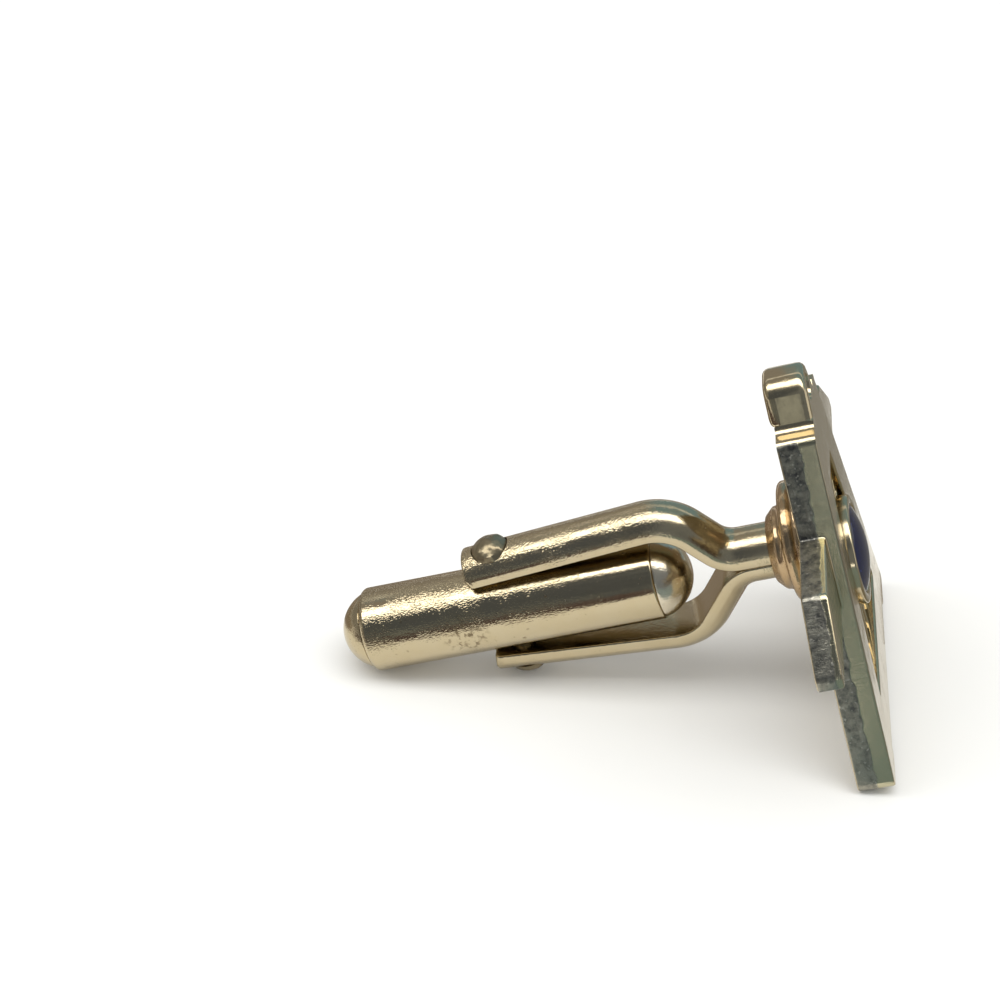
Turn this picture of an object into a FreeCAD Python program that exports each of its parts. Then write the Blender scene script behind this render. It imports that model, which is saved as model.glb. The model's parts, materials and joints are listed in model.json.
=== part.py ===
import FreeCAD, Part
import math
import os

Vector = FreeCAD.Vector

# A swivel-toggle cufflink. Local frame: the origin is where the pivot pin crosses the toggle,
# X runs along the toggle towards the head, Z along the pivot pin, Y across. The finished part is
# laid down as it lies on a table: on the two feet of its head and the outer end of its toggle.

# General fits
overrun = 1.0             # how far cutting tools run past what they cut
fit_gap = 0.02            # side clearance of pieces that are soldered, brazed or pressed in
running_gap = 0.05        # radial clearance of the toggle on its pin

# Toggle
tube_dia = 4.26
tube_wall = 0.35
tube_outer_reach = 7.4    # from the pin to the tube's outer end
tube_inner_reach = 7.7    # from the pin to the tube's end at the post
tube_edge_radius = 0.3    # rolled edge at the tube's outer end
tube_inner_edge_radius = 0.1
outer_rim_inset = 0.22    # a dome's base is this much smaller in radius than the tube
inner_rim_inset = 0.08
outer_dome_height = 1.35
inner_dome_height = 1.65
cap_plug_length = 1.1

# Pivot pin
pin_dia = 1.2
rivet_head_dia = 1.9
rivet_head_height = 0.44
rivet_seat_depth = 0.3    # spot face cut into the crown of each arm
pin_flat_depth = 0.06     # click flats in the middle of the pin
pin_flat_length = 2.2

# Leaf spring inside the toggle
spring_thickness = 0.2
spring_width = 1.5
spring_gap = 0.03         # to the round of the pin and to the bore
spring_end_gap = 0.8      # to the plug of each cap

# Arms: half-round straps, flat side inwards
arm_width = 2.6
arm_edge_thickness = 0.45
arm_crown_thickness = 1.4
arm_toggle_gap = 0.17     # flat of the arm to the tube, at the pin
arm_tip_reach = 1.4       # past the pin, away from the head
arm_bend_back = 1.65      # the bend starts this far short of the tip of the inner dome
arm_spread_angle = 4.6    # degrees, each arm away from the post's line
arm_drop_angle = 52.0     # degrees, steepest part of the bend
arm_outer_bend = 2.0      # bend radii, measured on the flat
arm_inner_bend = 2.1
arm_tip_round = 0.35
neck_rise = 0.3           # the arms meet this far above the toggle's line
neck_length = 1.02        # the two arms together, from the lower arm's bend to the ferrule

# Ferrule and base disc
ferrule_dia = 4.1
ferrule_height = 0.9
ferrule_bevel = 0.45      # conical rear edge
disc_dia = 5.9
disc_height = 1.1
disc_rise = 0.3           # middle of the disc above the line where the arms meet
disc_round = 0.25
disc_seat_depth = 0.15    # the disc is let into the back of the head by this much

# Head: a tapered tablet framed by two splayed bars, with a finial, over a lower cross-bar
plate_thickness = 1.82
low_thickness = 1.25
bar_half_width = 5.4      # outer edge of a bar from the middle, at the level of the toggle's line
bar_splay_angle = 18.0    # degrees, each bar leaning out towards its foot
bar_width = 2.65
bar_top = 8.15
bar_top_round = 0.5
foot_drop = 9.0           # from the toggle's line down to the feet
foot_round = 0.45
lintel_bottom = 4.4
sill_top = -6.0
sill_recess = 0.35        # the sill stands this far above the feet
finial_shoulder = 0.95    # the tablet's top corner stands out this far beside the finial
finial_top = 10.25        # from the toggle's line up to the top of the finial
finial_lean_angle = 22.0  # degrees, each side of the finial leaning in towards its top
finial_corner_share = 0.55  # rounding of the finial's top corners, of its half width at the shoulder
finial_back = 0.2         # the finial is this much deeper than the bars, at the back
finial_edge_round = 0.25
finial_fillet = 0.5
dimple_dia = 1.3          # round dimple in the front of the finial
dimple_depth = 0.4
cross_reach = 11.2        # ends of the cross-bar from the middle of the head, at its lower edge
cross_top = 3.6
cross_bottom = 0.2
cross_end_height = 0.7    # upright part of each end, below the slope
cross_slope_angle = 45.0  # degrees, the slanted cut of each end
cross_round = 0.35

# Medallion in the middle of the head
cup_dia = 5.4
cup_drop = 0.6            # middle of the medallion below the toggle's line
cup_wall = 0.5
cup_rise = 0.3            # above the bars
cup_recess = 0.45
enamel_crown = 0.5        # rise of the enamel in its middle
enamel_rim_drop = 0.08    # enamel edge below the rim of the cup

# Sunray ribs on the recessed field
ray_count = 24
ray_width = 0.45
ray_height = 0.25

# Derived places
tube_radius = tube_dia / 2
bore_radius = tube_radius - tube_wall
tube_length = tube_outer_reach + tube_inner_reach
pin_radius = pin_dia / 2
spread = math.radians(arm_spread_angle)
drop = math.radians(arm_drop_angle)
splay = math.radians(bar_splay_angle)
finial_lean = math.radians(finial_lean_angle)
full_turn = math.degrees(2 * math.pi)
arm_flat_at_pin = tube_radius + arm_toggle_gap

bend_x = tube_inner_reach + inner_dome_height - arm_bend_back
bend_z = arm_flat_at_pin + bend_x * math.tan(spread)
outer_arc_x = bend_x + arm_outer_bend * (math.sin(spread) + math.sin(drop))
outer_arc_z = bend_z - arm_outer_bend * (math.cos(spread) - math.cos(drop))


def inner_arc_start(neck_z):
    """Where an arm's second bend starts, if its flat then runs on at the given height."""
    z = neck_z + arm_inner_bend * (1 - math.cos(drop))
    return outer_arc_x + (outer_arc_z - z) / math.tan(drop), z


def neck_start(neck_z):
    return inner_arc_start(neck_z)[0] + arm_inner_bend * math.sin(drop)


ferrule_x = neck_start(-neck_rise) + neck_length
disc_x = ferrule_x + ferrule_height
plate_x = disc_x + disc_height
low_front = plate_x + low_thickness
plate_front = plate_x + plate_thickness


def along(vector, length):
    return vector * length


def rounded_wire(points, radii):
    """Closed wire through the points, each corner rounded by its radius."""
    edges = []
    tangents = []
    count = len(points)
    for i, corner in enumerate(points):
        before = (points[i - 1] - corner).normalize()
        after = (points[(i + 1) % count] - corner).normalize()
        half = before.getAngle(after) / 2
        radius = radii[i]
        if radius > 0:
            reach = radius / math.tan(half)
            inward = (before + after).normalize()
            middle = corner + along(inward, radius / math.sin(half) - radius)
            tangents.append((corner + along(before, reach), middle, corner + along(after, reach)))
        else:
            tangents.append((corner, None, corner))
    for i, (start, middle, end) in enumerate(tangents):
        if middle is not None:
            edges.append(Part.Arc(start, middle, end).toShape())
        following = tangents[(i + 1) % count][0]
        edges.append(Part.makeLine(end, following))
    return Part.Wire(edges)


def slab(outline, radii, x, thickness):
    """Plate of constant thickness along X from an outline of (y, z) points."""
    wire = rounded_wire([Vector(x, y, z) for y, z in outline], radii)
    return Part.Face(wire).extrude(Vector(thickness, 0, 0))


def rod_x(radius, x, length, y=0, z=0):
    return Part.makeCylinder(radius, length, Vector(x, y, z), Vector(1, 0, 0))


def rod_z(radius, z, length):
    return Part.makeCylinder(radius, length, Vector(0, 0, z), Vector(0, 0, 1))


def turned(edges):
    """Solid of revolution about X from edges in the upper XZ half plane."""
    return Part.Face(Part.Wire(edges)).revolve(Vector(0, 0, 0), Vector(1, 0, 0), full_turn)


def mirrored_z(shape):
    return shape.mirror(Vector(0, 0, 0), Vector(0, 0, 1))


def mirrored_y(shape):
    return shape.mirror(Vector(0, 0, 0), Vector(0, 1, 0))


def edge_nearest(shape, point):
    return min(shape.Edges, key=lambda edge: (edge.CenterOfMass - point).Length)


def rear_rims(shape, x):
    """Round edges of a turned shape behind the given place."""
    return [e for e in shape.Edges if e.Curve.TypeId == "Part::GeomCircle" and e.CenterOfMass.x < x]


# Toggle tube: a plain tube with rolled ends and two holes for the pin
tube = rod_x(tube_radius, -tube_outer_reach, tube_length)
rims = sorted((e for e in tube.Edges if e.Curve.TypeId == "Part::GeomCircle"), key=lambda e: e.CenterOfMass.x)
tube = tube.makeFillet(tube_edge_radius, rims[:1])
rims = sorted((e for e in tube.Edges if e.Curve.TypeId == "Part::GeomCircle"), key=lambda e: e.CenterOfMass.x)
tube = tube.makeFillet(tube_inner_edge_radius, rims[-1:])
tube = tube.cut(rod_x(bore_radius, -tube_outer_reach - overrun, tube_length + 2 * overrun))
pin_hole_radius = pin_radius + running_gap
tube = tube.cut(rod_z(pin_hole_radius, -tube_radius - overrun, 2 * (tube_radius + overrun)))


def end_cap(tube_end, dome_height, rim_inset):
    """Domed cap that plugs into the end of a tube at +X."""
    plug_radius = bore_radius - fit_gap
    rim_radius = tube_radius - rim_inset
    start = tube_end - cap_plug_length
    dome_radius = (dome_height ** 2 + rim_radius ** 2) / (2 * dome_height)
    dome_centre = tube_end + dome_height - dome_radius
    half = math.atan2(rim_radius, tube_end - dome_centre) / 2
    at_rim = Vector(tube_end, 0, rim_radius)
    apex = Vector(tube_end + dome_height, 0, 0)
    shoulder = Vector(dome_centre + dome_radius * math.cos(half), 0, dome_radius * math.sin(half))
    return turned([
        Part.makeLine(Vector(start, 0, 0), Vector(start, 0, plug_radius)),
        Part.makeLine(Vector(start, 0, plug_radius), Vector(tube_end, 0, plug_radius)),
        Part.makeLine(Vector(tube_end, 0, plug_radius), at_rim),
        Part.Arc(at_rim, shoulder, apex).toShape(),
        Part.makeLine(apex, Vector(start, 0, 0)),
    ])


inner_cap = end_cap(tube_inner_reach, inner_dome_height, inner_rim_inset)
outer_cap = end_cap(tube_outer_reach, outer_dome_height, outer_rim_inset)
outer_cap = outer_cap.mirror(Vector(0, 0, 0), Vector(1, 0, 0))


# Leaf spring: bowed strip whose middle lies beside the pin and whose ends lie on the bore
spring_half = min(tube_outer_reach, tube_inner_reach) - cap_plug_length - spring_end_gap
spring_inside = pin_radius + spring_gap
spring_chord = math.sqrt(bore_radius ** 2 - (spring_width / 2) ** 2) - spring_gap
spring_rise = spring_chord - spring_thickness - spring_inside
spring_radius = (spring_half ** 2 + spring_rise ** 2) / (2 * spring_rise)
spring_centre = Vector(0, spring_inside + spring_radius, -spring_width / 2)
spring = Part.makeCylinder(spring_radius, spring_width, spring_centre, Vector(0, 0, 1))
spring = spring.cut(Part.makeCylinder(spring_radius - spring_thickness, spring_width + 2 * overrun,
                                      spring_centre - Vector(0, 0, overrun), Vector(0, 0, 1)))
spring = spring.common(Part.makeBox(2 * spring_half, spring_chord, spring_width,
                                    Vector(-spring_half, 0, -spring_width / 2)))


# Arms
def strap_section(x, z, slope, grow=0):
    """Half-round section, flat on the inside, at a point of the arm's line in the XZ plane."""
    out = Vector(-math.sin(slope), 0, math.cos(slope))
    side = Vector(0, arm_width / 2 + grow, 0)
    foot = Vector(x, 0, z)
    shoulder = foot + along(out, arm_edge_thickness + grow)
    crown = foot + along(out, arm_crown_thickness + grow)
    return Part.Wire([
        Part.makeLine(foot - side, foot + side),
        Part.makeLine(foot + side, shoulder + side),
        Part.Arc(shoulder + side, crown, shoulder - side).toShape(),
        Part.makeLine(shoulder - side, foot - side),
    ])


def bend_arc(centre, radius, start_angle, end_angle):
    def at(angle):
        return centre + Vector(radius * math.cos(angle), 0, radius * math.sin(angle))
    return Part.Arc(at(start_angle), at((start_angle + end_angle) / 2), at(end_angle)).toShape()


quarter = math.pi / 2
tip_x = -arm_tip_reach * math.cos(spread)
tip_z = arm_flat_at_pin - arm_tip_reach * math.sin(spread)
arm_end = disc_x
crown_at_pin = arm_flat_at_pin + arm_crown_thickness / math.cos(spread)
rivet_seat = crown_at_pin - rivet_seat_depth
rivet_radius = rivet_head_dia / 2


def arm(neck_z):
    """An arm above the toggle's line whose flat ends at the given height."""
    slope_end_x, slope_end_z = inner_arc_start(neck_z)
    neck_x = neck_start(neck_z)
    outer_centre = Vector(bend_x + arm_outer_bend * math.sin(spread), 0,
                          bend_z - arm_outer_bend * math.cos(spread))
    inner_centre = Vector(neck_x, 0, neck_z + arm_inner_bend)
    line = Part.Wire([
        Part.makeLine(Vector(tip_x, 0, tip_z), Vector(bend_x, 0, bend_z)),
        bend_arc(outer_centre, arm_outer_bend, quarter + spread, quarter - drop),
        Part.makeLine(Vector(outer_arc_x, 0, outer_arc_z), Vector(slope_end_x, 0, slope_end_z)),
        bend_arc(inner_centre, arm_inner_bend, -quarter - drop, -quarter),
        Part.makeLine(Vector(neck_x, 0, neck_z), Vector(arm_end, 0, neck_z)),
    ])
    strap = line.makePipeShell([strap_section(tip_x, tip_z, spread)], True, False)
    # square tip with rounded corners, seen along the pin
    tool_base = -neck_rise - overrun
    outline = rounded_wire(
        [Vector(tip_x, arm_width / 2, tool_base), Vector(tip_x, -arm_width / 2, tool_base),
         Vector(arm_end + overrun, -arm_width / 2, tool_base),
         Vector(arm_end + overrun, arm_width / 2, tool_base)],
        [arm_tip_round, arm_tip_round, 0, 0])
    tool_height = bend_z + arm_crown_thickness + overrun - tool_base
    strap = strap.common(Part.Face(outline).extrude(Vector(0, 0, tool_height)))
    strap = strap.cut(rod_z(pin_radius + fit_gap, 0, crown_at_pin + overrun))
    return strap.cut(rod_z(rivet_radius + fit_gap, rivet_seat, rivet_seat_depth + overrun))


upper_arm = arm(neck_rise)
lower_arm = mirrored_z(arm(-neck_rise))

# Pivot pin: shank with two click flats in the middle and a riveted head at each end
pin = rod_z(pin_radius, -rivet_seat, 2 * rivet_seat)
flat_offset = pin_radius - pin_flat_depth
for side in (1, -1):
    y = flat_offset if side > 0 else -flat_offset - overrun
    pin = pin.cut(Part.makeBox(2 * pin_dia, overrun, pin_flat_length,
                               Vector(-pin_dia, y, -pin_flat_length / 2)))
head_top = rivet_seat + rivet_seat_depth + rivet_head_height
dome_radius = (rivet_radius ** 2 + rivet_head_height ** 2) / (2 * rivet_head_height)
rivet_head = rod_z(rivet_radius, rivet_seat, rivet_seat_depth + rivet_head_height)
rivet_head = rivet_head.common(Part.makeSphere(dome_radius, Vector(0, 0, head_top - dome_radius)))
pin = pin.fuse([rivet_head, mirrored_z(rivet_head)]).removeSplitter()

# Ferrule: bevelled collar round the ends of both arms, which stand on the disc
ferrule = rod_x(ferrule_dia / 2, ferrule_x, ferrule_height, 0, neck_rise)
ferrule = ferrule.makeChamfer(ferrule_bevel, rear_rims(ferrule, ferrule_x + ferrule_height / 2))
socket = Part.Face(strap_section(ferrule_x - overrun, neck_rise, 0, fit_gap))
socket = socket.extrude(Vector(ferrule_height + 2 * overrun, 0, 0))
ferrule = ferrule.cut(socket).cut(socket.mirror(Vector(0, 0, neck_rise), Vector(0, 0, 1)))

# Base disc, soldered into a shallow seat in the back of the head
disc_line = neck_rise + disc_rise
disc = rod_x(disc_dia / 2, disc_x, disc_height + disc_seat_depth, 0, disc_line)
disc = disc.makeFillet(disc_round, rear_rims(disc, disc_x + disc_height / 2))


# Head
def bar_edge(z, inset=0):
    return bar_half_width - z * math.tan(splay) - inset


def bar_band(top, bottom, inset, thickness):
    """Plate between the two bars, reaching to the given distance inside their outer edges."""
    return slab([(-bar_edge(top, inset), top), (bar_edge(top, inset), top),
                 (bar_edge(bottom, inset), bottom), (-bar_edge(bottom, inset), bottom)],
                [0, 0, 0, 0], plate_x, thickness)


bar_middle = bar_width / 2
sill_bottom = sill_recess - foot_drop
bar = slab([(bar_edge(bar_top), bar_top), (bar_edge(-foot_drop), -foot_drop),
            (bar_edge(-foot_drop, bar_width), -foot_drop), (bar_edge(bar_top, bar_width), bar_top)],
           [bar_top_round, foot_round, foot_round, 0], plate_x, plate_thickness)
lintel = bar_band(bar_top, lintel_bottom, bar_middle, plate_thickness)
sill = bar_band(sill_top, sill_bottom, bar_middle, plate_thickness)
finial_half = bar_edge(bar_top) - finial_shoulder
finial_corner = finial_corner_share * finial_half


def finial_edge(z):
    return finial_half - (z - bar_top) * math.tan(finial_lean)


def finial_slab(bottom, x, thickness):
    return slab([(-finial_edge(bottom), bottom), (-finial_edge(finial_top), finial_top),
                 (finial_edge(finial_top), finial_top), (finial_edge(bottom), bottom)],
                [0, finial_corner, finial_corner, 0], x, thickness)


finial_stem = finial_slab(lintel_bottom, plate_x, plate_thickness)
frame = bar.fuse([mirrored_y(bar), lintel, sill, finial_stem]).removeSplitter()
waist = [edge_nearest(frame, Vector(plate_x + plate_thickness / 2, side * finial_half, bar_top))
         for side in (1, -1)]
frame = frame.makeFillet(finial_fillet, waist)
finial = finial_slab(bar_top, plate_x - finial_back, plate_thickness + finial_back)
finial = finial.makeFillet(finial_edge_round, finial.Edges)
dimple = rod_x(dimple_dia / 2, plate_front - dimple_depth, dimple_depth + overrun,
               0, (bar_top + finial_top) / 2)

field = bar_band(lintel_bottom, sill_top, bar_middle, low_thickness)
slope_start = cross_bottom + cross_end_height
slope_run = (cross_top - slope_start) / math.tan(math.radians(cross_slope_angle))
cross_outline = [(cross_reach, cross_bottom), (cross_reach, slope_start),
                 (cross_reach - slope_run, cross_top)]
cross_outline += [(-y, z) for y, z in reversed(cross_outline)]
cross_bar = slab(cross_outline, [cross_round] * len(cross_outline), plate_x, low_thickness)
plate = frame.fuse([finial, field, cross_bar]).removeSplitter().cut(dimple)

# Sunray ribs on the field, round the medallion
ray_reach = math.hypot(bar_edge(sill_top), lintel_bottom - sill_top)
rays = []
for i in range(ray_count):
    ray = Part.makeBox(low_thickness + ray_height, ray_reach, ray_width, Vector(plate_x, 0, -ray_width / 2))
    ray.rotate(Vector(0, 0, 0), Vector(1, 0, 0), full_turn * (i + 1 / 2) / ray_count)
    ray.translate(Vector(0, 0, -cup_drop))
    rays.append(ray)
ribs = rays[0].fuse(rays[1:]).common(bar_band(lintel_bottom, sill_top, bar_width, plate_thickness))
cup_radius = cup_dia / 2
cup_seat = rod_x(cup_radius + fit_gap, low_front, plate_thickness, 0, -cup_drop)
disc_seat = rod_x(disc_dia / 2 + fit_gap, plate_x - overrun, overrun + disc_seat_depth, 0, disc_line)
plate = plate.fuse(ribs).removeSplitter().cut(cup_seat).cut(disc_seat)

# Medallion cup and its enamel
cup_front = plate_front + cup_rise
recess_radius = cup_radius - cup_wall
recess_floor = cup_front - cup_recess
cup = rod_x(cup_radius, low_front, cup_front - low_front, 0, -cup_drop)
cup = cup.cut(rod_x(recess_radius, recess_floor, cup_recess + overrun, 0, -cup_drop))
enamel_radius = recess_radius - fit_gap
enamel_edge = cup_front - enamel_rim_drop
enamel_ball = (enamel_radius ** 2 + enamel_crown ** 2) / (2 * enamel_crown)
enamel = rod_x(enamel_radius, recess_floor, enamel_edge + enamel_crown - recess_floor, 0, -cup_drop)
enamel_centre = Vector(enamel_edge + enamel_crown - enamel_ball, 0, -cup_drop)
enamel = enamel.common(Part.makeSphere(enamel_ball, enamel_centre))

nodes = {
    "face_plate": plate,
    "medallion_cup": cup,
    "enamel_roundel": enamel,
    "base_disc": disc,
    "ferrule": ferrule,
    "upper_arm": upper_arm,
    "lower_arm": lower_arm,
    "pivot_pin": pin,
    "toggle_tube": tube,
    "outer_cap": outer_cap,
    "inner_cap": inner_cap,
    "leaf_spring": spring,
}

# Lay the part down: tilt it about Y until the feet and the rolled edge of the toggle's outer end
# reach one level, then set its middle over the origin with that level at Z = 0.
run = plate_x + tube_outer_reach - tube_edge_radius
rise = foot_drop - tube_radius + tube_edge_radius
tilt = math.atan2(rise, run) - math.asin(tube_edge_radius / math.hypot(run, rise))
floor = foot_drop * math.cos(tilt) - plate_x * math.sin(tilt)
lean = FreeCAD.Rotation(Vector(0, 1, 0), -math.degrees(tilt))
for shape in nodes.values():
    shape.Placement = FreeCAD.Placement(Vector(0, 0, 0), lean).multiply(shape.Placement)
box = Part.Compound(list(nodes.values())).optimalBoundingBox(False, False)
shift = Vector(-(box.XMin + box.XMax) / 2, -(box.YMin + box.YMax) / 2, floor)

os.makedirs("parts", exist_ok=True)
for name, shape in nodes.items():
    shape.translate(shift)
    shape.exportStep("parts/" + name + ".step")
    print(name, "valid", shape.isValid(), "solids", len(shape.Solids), "volume", round(shape.Volume, 3))
print("pivot at", shift, "tilt", math.degrees(tilt))
print("head from", plate_x, "to", plate_front, "ferrule from", ferrule_x, "to", disc_x)
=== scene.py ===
import json
import math

import bmesh
import bpy
from mathutils import Matrix, Vector


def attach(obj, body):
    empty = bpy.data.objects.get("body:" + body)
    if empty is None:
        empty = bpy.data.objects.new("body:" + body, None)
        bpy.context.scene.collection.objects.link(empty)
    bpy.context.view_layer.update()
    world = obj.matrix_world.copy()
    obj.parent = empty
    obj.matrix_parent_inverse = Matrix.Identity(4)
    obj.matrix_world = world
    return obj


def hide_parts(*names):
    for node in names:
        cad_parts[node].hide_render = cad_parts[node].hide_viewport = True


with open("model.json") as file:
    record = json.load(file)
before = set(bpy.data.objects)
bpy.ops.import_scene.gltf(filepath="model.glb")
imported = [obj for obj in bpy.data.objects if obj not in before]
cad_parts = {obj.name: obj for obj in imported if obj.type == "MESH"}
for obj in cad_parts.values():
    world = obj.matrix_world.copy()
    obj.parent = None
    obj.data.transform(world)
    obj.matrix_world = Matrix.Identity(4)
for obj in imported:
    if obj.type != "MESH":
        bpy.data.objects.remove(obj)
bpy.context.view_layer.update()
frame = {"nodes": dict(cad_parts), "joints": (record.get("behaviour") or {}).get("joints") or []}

# Every piece is drawn in millimetres in the link's own axes and then laid down as the link lies:
# the middle of the pivot pin is the origin, X runs along the toggle to the head, Z along the pin.
mm = 0.001
touch = 1e-4  # tolerance when points are picked by their place
seam = 0.0004  # points that a full turn brings together
sliver = 0.003  # smallest edge that is kept after a boolean
past = 1  # how far a cutter reaches beyond the metal
swivel = frame["joints"][0]
pinMiddle = Vector(swivel["pos_m"])
lieTilt = math.atan2(-swivel["axis"][0], swivel["axis"][2])
layDown = Matrix.Translation(pinMiddle) @ Matrix.Rotation(-lieTilt, 4, "Y") @ Matrix.Scale(mm, 4)
pickUp = layDown.inverted()
print("link tilted by", round(math.degrees(lieTilt), 2), "degrees")


def ownBox(node):  # lowest and highest corner of a CAD node, in the link's own axes
    points = [pickUp @ v.co for v in frame["nodes"][node].data.vertices]
    return [Vector([end(p[i] for p in points) for i in range(3)]) for end in (min, max)]


def pick(piece, kind, test):  # select vertices, edges or faces in edit mode by their place
    bpy.ops.mesh.select_mode(type=kind)
    bpy.ops.mesh.select_all(action="DESELECT")
    mesh = bmesh.from_edit_mesh(piece.data)
    for item in {"VERT": mesh.verts, "EDGE": mesh.edges, "FACE": mesh.faces}[kind]:
        if test(item):
            item.select_set(True)
    mesh.select_flush_mode()
    bmesh.update_edit_mesh(piece.data)


def middle(edge):
    return (edge.verts[0].co + edge.verts[1].co) / 2


def reach(edge):  # from one end of an edge to the other
    return edge.verts[0].co - edge.verts[1].co


def edit(piece):
    bpy.ops.object.select_all(action="DESELECT")
    piece.select_set(True)
    bpy.context.view_layer.objects.active = piece
    bpy.ops.object.mode_set(mode="EDIT")


def leaveEdit():
    bpy.ops.object.mode_set(mode="OBJECT")


def drawLine(name, points, closed=False):  # a plane merged to one point, extruded from point to point
    bpy.ops.object.select_all(action="DESELECT")
    bpy.ops.mesh.primitive_plane_add(size=1)
    piece = bpy.context.object
    piece.name = piece.data.name = name
    bpy.ops.object.mode_set(mode="EDIT")
    bpy.ops.mesh.select_mode(type="VERT")
    bpy.ops.mesh.select_all(action="SELECT")
    bpy.ops.mesh.merge(type="CENTER")
    bpy.ops.transform.translate(value=points[0])
    for here, there in zip(points, points[1:]):
        carryOn(Vector(there) - Vector(here))
    if closed:
        ends = (Vector(points[0]), Vector(points[-1]))
        pick(piece, "VERT", lambda v: min((v.co - end).length for end in ends) < touch)
        bpy.ops.mesh.edge_face_add()
    return piece


def carryOn(step):  # extrude what is selected
    bpy.ops.mesh.extrude_region_move(TRANSFORM_OT_translate={"value": step})


def turn(centre, axis, steps):  # spin the line being drawn all the way round and close it up
    bpy.ops.mesh.select_mode(type="VERT")
    bpy.ops.mesh.select_all(action="SELECT")
    bpy.ops.mesh.spin(steps=steps, angle=2 * math.pi, center=centre, axis=axis)
    bpy.ops.mesh.select_all(action="SELECT")
    bpy.ops.mesh.remove_doubles(threshold=seam)
    bpy.ops.mesh.normals_make_consistent(inside=False)
    leaveEdit()


def arc(centre, radius, startDeg, endDeg, steps):  # points of an arc in the XZ plane
    angles = [math.radians(startDeg + (endDeg - startDeg) * i / steps) for i in range(steps + 1)]
    return [(centre[0] + radius * math.cos(a), 0, centre[1] + radius * math.sin(a)) for a in angles]


def dome(rim, rise, steps):  # height from the apex and radius, along a ball's cap from rim to apex
    ball = (rise ** 2 + rim ** 2) / (2 * rise)
    half = math.degrees(math.asin(rim / ball))
    return [(x - ball, z) for x, _, z in arc((0, 0), ball, half, 0, steps)]


def block(name, low, high):
    low, high = Vector(low), Vector(high)
    bpy.ops.object.select_all(action="DESELECT")
    bpy.ops.mesh.primitive_cube_add(size=1, location=(low + high) / 2, scale=high - low)
    piece = bpy.context.object
    piece.name = piece.data.name = name
    bpy.ops.object.transform_apply(location=True, rotation=True, scale=True)
    return piece


def bevelPicked(kind, width, steps, **settings):
    bpy.ops.mesh.bevel(affect=kind, offset=width, segments=steps, profile=0.5, **settings)


def mirror(piece, flip):
    edit(piece)
    bpy.ops.mesh.select_all(action="SELECT")
    bpy.ops.transform.resize(value=flip, center_override=(0, 0, 0))
    bpy.ops.mesh.normals_make_consistent(inside=False)
    leaveEdit()


def applyChange(piece, change):
    bpy.ops.object.select_all(action="DESELECT")
    bpy.context.view_layer.objects.active = piece
    bpy.ops.object.modifier_apply(modifier=change.name)


def combine(piece, tool, operation):  # exact boolean, the tool is used up
    change = piece.modifiers.new(operation.lower(), "BOOLEAN")
    change.operation = operation
    change.object = tool
    change.solver = "EXACT"
    applyChange(piece, change)
    bpy.data.objects.remove(tool)
    cleanUp(piece)


def cleanUp(piece):  # drop the doubled points and slivers that a boolean leaves
    edit(piece)
    bpy.ops.mesh.select_all(action="SELECT")
    bpy.ops.mesh.remove_doubles(threshold=sliver)
    bpy.ops.mesh.dissolve_degenerate(threshold=sliver)
    bpy.ops.mesh.normals_make_consistent(inside=False)
    leaveEdit()


def softenEdges(piece, width, angleDeg, steps=3, clamp=True):
    change = piece.modifiers.new("soft edges", "BEVEL")
    change.width = width
    change.segments = steps
    change.limit_method = "ANGLE"
    change.angle_limit = math.radians(angleDeg)
    change.use_clamp_overlap = clamp
    change.miter_outer = "MITER_ARC"
    applyChange(piece, change)


def layOnBody(piece, node, body, smoothDeg=35):  # lay a finished piece down in place of its node
    bpy.ops.object.select_all(action="DESELECT")
    piece.select_set(True)
    bpy.context.view_layer.objects.active = piece
    bpy.ops.object.shade_smooth_by_angle(angle=math.radians(smoothDeg))
    piece.matrix_world = layDown
    bpy.ops.object.transform_apply(location=True, rotation=True, scale=True)
    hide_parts(node)
    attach(piece, body)
    change = piece.modifiers.new("even shading", "WEIGHTED_NORMAL")
    change.keep_sharp = True
    change.weight = 80
    applyChange(piece, change)
    print(piece.name, "done,", len(piece.data.polygons), "faces")


# Finishes

def fromHex(code):  # sRGB hex to linear
    parts = [int(code[i:i + 2], 16) / 255 for i in (1, 3, 5)]
    return [p / 12.92 if p <= 0.04045 else ((p + 0.055) / 1.055) ** 2.4 for p in parts] + [1]


def addNode(tree, kind, links=None, **settings):
    node = tree.nodes.new(kind)
    for name, value in settings.items():
        setattr(node, name, value)
    for socket, value in (links or {}).items():
        if isinstance(value, bpy.types.NodeSocket):
            tree.links.new(value, node.inputs[socket])
        else:
            node.inputs[socket].default_value = value
    return node


def noise(tree, place, size, detail, rough=0.5, **settings):  # cloudy pattern of this feature size
    return addNode(tree, "ShaderNodeTexNoise", {"Vector": place, "Scale": 1 / size, "Detail": detail,
                                                "Roughness": rough}, **settings).outputs[0]


def stretchedNoise(tree, place, sizes, detail, rough=0.5, **settings):  # with a size for each axis
    stretched = addNode(tree, "ShaderNodeMapping", {"Vector": place, "Scale": [1 / s for s in sizes]})
    return noise(tree, stretched.outputs[0], 1, detail, rough, **settings)


def ramp(tree, value, low, high, toLow=0, toHigh=1):
    return addNode(tree, "ShaderNodeMapRange", {"Value": value, "From Min": low, "From Max": high,
                                                "To Min": toLow, "To Max": toHigh}).outputs[0]


def reckon(tree, operation, *values, **settings):
    links = dict(enumerate(values))
    return addNode(tree, "ShaderNodeMath", links, operation=operation, **settings).outputs[0]


def distance(tree, place, point):
    return addNode(tree, "ShaderNodeVectorMath", {0: place, 1: point}, operation="DISTANCE").outputs["Value"]


def blend(tree, share, first, second):  # of two colours, each a hex code or a socket
    first, second = [fromHex(tone) if isinstance(tone, str) else tone for tone in (first, second)]
    return addNode(tree, "ShaderNodeMix", {0: share, 6: first, 7: second}, data_type="RGBA").outputs[2]


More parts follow.
